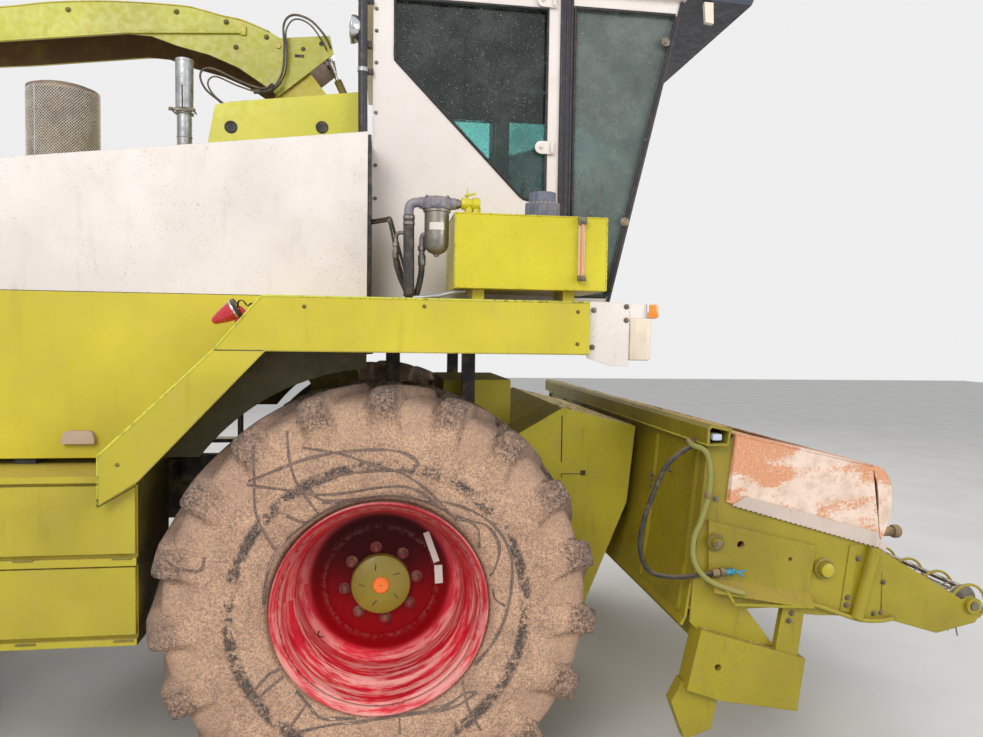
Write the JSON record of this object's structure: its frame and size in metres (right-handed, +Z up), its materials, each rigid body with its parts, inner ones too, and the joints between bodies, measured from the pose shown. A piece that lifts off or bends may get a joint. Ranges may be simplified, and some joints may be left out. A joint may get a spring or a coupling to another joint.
{
  "type": "forage harvester",
  "caption": "Self-propelled forage harvester with a pickup header, cab, swivelling discharge spout, large front drive wheels and steered rear wheels.",
  "frame": {"origin": "on the ground, at the middle of the machine's length and on its centre plane", "axes": "+X forward, +Y to the machine's left, +Z up"},
  "size_m": [6.4997, 3.124, 3.745],
  "materials": {
    "green_paint": "satin",
    "white_paint": "satin",
    "red_paint": "satin",
    "dark_paint": "satin",
    "rod_steel": "polished",
    "grey_steel": "worn",
    "filter_alloy": "satin",
    "red_lens": "gloss",
    "black_plastic": "matte",
    "tyre_rubber": "dusty",
    "tinted_glass": "tinted"
  },
  "bodies": {
    "machine": {"chassis_frame": "dark_paint", "front_axle": "dark_paint", "cutter_housing": "green_paint", "engine_block": "dark_paint", "tow_hitch": "dark_paint", "rear_body": "green_paint", "hood_top": "green_paint", "upper_side_panels": "white_paint", "lower_side_panels": "green_paint", "toolbox": "green_paint", "battery_box": "green_paint", "fender_right": "green_paint", "platform_left": "green_paint", "ladder_left": "dark_paint", "front_lamps": "white_paint", "marker_lamps": "red_lens", "hydraulic_tank": "green_paint", "oil_filter": "filter_alloy", "cab_shell": "white_paint", "cab_roof": "white_paint", "cab_glass": "tinted_glass", "seat": "black_plastic", "steering_column": "black_plastic", "exhaust_pipe": "grey_steel", "air_screen": "grey_steel", "rear_axle": "dark_paint"},
    "screen_door": {"rear_screen_door": "green_paint"},
    "box_door_upper": {"toolbox_door_upper": "green_paint"},
    "box_door_lower": {"toolbox_door_lower": "green_paint"},
    "cab_door": {"cab_door": "white_paint", "door_glass": "tinted_glass"},
    "turret": {"turret": "green_paint"},
    "spout": {"spout_arm": "green_paint"},
    "spout_flap": {"spout_flap": "green_paint"},
    "ram_barrel": {"spout_barrel": "dark_paint"},
    "ram_rod": {"spout_rod": "rod_steel"},
    "header": {"feeder_housing": "green_paint", "header_frame": "green_paint", "header_sides": "green_paint", "header_covers": "white_paint", "pickup_hoops": "green_paint"},
    "auger": {"header_auger": "green_paint"},
    "reel": {"pickup_reel": "grey_steel"},
    "lift_barrels": {"lift_barrels": "dark_paint"},
    "lift_rods": {"lift_rods": "rod_steel"},
    "front_wheel_right": {"tyre_front_right": "tyre_rubber", "rim_front_right": "red_paint"},
    "front_wheel_left": {"tyre_front_left": "tyre_rubber", "rim_front_left": "red_paint"},
    "knuckle_right": {"knuckle_right": "dark_paint"},
    "knuckle_left": {"knuckle_left": "dark_paint"},
    "tie_rod": {"tie_rod": "grey_steel"},
    "rear_wheel_right": {"tyre_rear_right": "tyre_rubber", "rim_rear_right": "red_paint"},
    "rear_wheel_left": {"tyre_rear_left": "tyre_rubber", "rim_rear_left": "red_paint"}
  },
  "joints": [
    {"name": "front_wheel_right_spin", "type": "hinge", "parent": "machine", "child": "front_wheel_right", "pos_m": [0.47091, -1.19, 0.9], "axis": [0, 1, 0], "continuous": true},
    {"name": "front_wheel_left_spin", "type": "hinge", "parent": "machine", "child": "front_wheel_left", "pos_m": [0.47091, 1.19, 0.9], "axis": [0, 1, 0], "continuous": true},
    {"name": "steer_right", "type": "hinge", "parent": "machine", "child": "knuckle_right", "pos_m": [-2.17909, -0.85, 0.56], "axis": [0, 0, 1], "range_deg": [-35, 35]},
    {"name": "steer_left", "type": "hinge", "parent": "machine", "child": "knuckle_left", "pos_m": [-2.17909, 0.85, 0.56], "axis": [0, 0, 1], "range_deg": [-35, 35]},
    {"name": "tie_rod_pivot", "type": "hinge", "parent": "knuckle_right", "child": "tie_rod", "pos_m": [-2.38909, -0.85, 0.56], "axis": [0, 0, 1], "range_deg": [-35, 35]},
    {"name": "rear_wheel_right_spin", "type": "hinge", "parent": "knuckle_right", "child": "rear_wheel_right", "pos_m": [-2.17909, -1.08, 0.56], "axis": [0, 1, 0], "continuous": true},
    {"name": "rear_wheel_left_spin", "type": "hinge", "parent": "knuckle_left", "child": "rear_wheel_left", "pos_m": [-2.17909, 1.08, 0.56], "axis": [0, 1, 0], "continuous": true},
    {"name": "header_lift", "type": "hinge", "parent": "machine", "child": "header", "pos_m": [0.65091, 0, 1.38], "axis": [0, -1, 0], "range_deg": [-15, 14]},
    {"name": "auger_spin", "type": "hinge", "parent": "header", "child": "auger", "pos_m": [2.36191, 0, 1.022], "axis": [0, 1, 0], "continuous": true},
    {"name": "reel_spin", "type": "hinge", "parent": "header", "child": "reel", "pos_m": [3.09091, 0, 0.83], "axis": [0, 1, 0], "continuous": true},
    {"name": "lift_barrel_tilt", "type": "hinge", "parent": "machine", "child": "lift_barrels", "pos_m": [0.62091, 0, 0.71], "axis": [0, -1, 0], "range_deg": [-18, 17]},
    {"name": "lift_rod_slide", "type": "slide", "parent": "lift_barrels", "child": "lift_rods", "axis": [0.9867, 0, -0.1625], "range_m": [-0.175, 0.163]},
    {"name": "spout_swivel", "type": "hinge", "parent": "machine", "child": "turret", "pos_m": [0.07091, 0, 3.14], "axis": [0, 0, 1], "range_deg": [-95, 95]},
    {"name": "spout_lift", "type": "hinge", "parent": "turret", "child": "spout", "pos_m": [-0.10709, 0, 3.564], "axis": [0, 1, 0], "range_deg": [0, 30]},
    {"name": "spout_flap_tilt", "type": "hinge", "parent": "spout", "child": "spout_flap", "pos_m": [-2.90909, 0, 3.445], "axis": [0, -1, 0], "range_deg": [0, 50]},
    {"name": "ram_tilt", "type": "hinge", "parent": "turret", "child": "ram_barrel", "pos_m": [0.30391, 0, 3.23], "axis": [0, -1, 0], "range_deg": [-1, 16]},
    {"name": "ram_slide", "type": "slide", "parent": "ram_barrel", "child": "ram_rod", "axis": [-0.4194, 0, 0.9078], "range_m": [-0.099, 0.003]},
    {"name": "cab_door_hinge", "type": "hinge", "parent": "machine", "child": "cab_door", "pos_m": [0.45591, 0.95, 2.8], "axis": [0, 0, 1], "range_deg": [0, 75]},
    {"name": "box_door_upper_hinge", "type": "hinge", "parent": "machine", "child": "box_door_upper", "pos_m": [-1.01909, -1.455, 1.14], "axis": [1, 0, 0], "range_deg": [0, 90]},
    {"name": "box_door_lower_hinge", "type": "hinge", "parent": "machine", "child": "box_door_lower", "pos_m": [-1.01909, -1.455, 0.824], "axis": [1, 0, 0], "range_deg": [0, 90]},
    {"name": "screen_door_hinge", "type": "hinge", "parent": "machine", "child": "screen_door", "pos_m": [-3.01109, 0.8, 1.965], "axis": [0, 0, -1], "range_deg": [0, 100]}
  ],
  "couplings": [
    {"joint": "steer_left", "follows": "steer_right", "ratio": 1},
    {"joint": "tie_rod_pivot", "follows": "steer_right", "ratio": -1},
    {"joint": "lift_barrel_tilt", "follows": "header_lift", "ratio": 1.1221},
    {"joint": "lift_rod_slide", "follows": "header_lift", "m_per_rad": 0.6555},
    {"joint": "ram_tilt", "follows": "spout_lift", "ratio": 0.4805},
    {"joint": "ram_slide", "follows": "spout_lift", "m_per_rad": -0.1832}
  ]
}
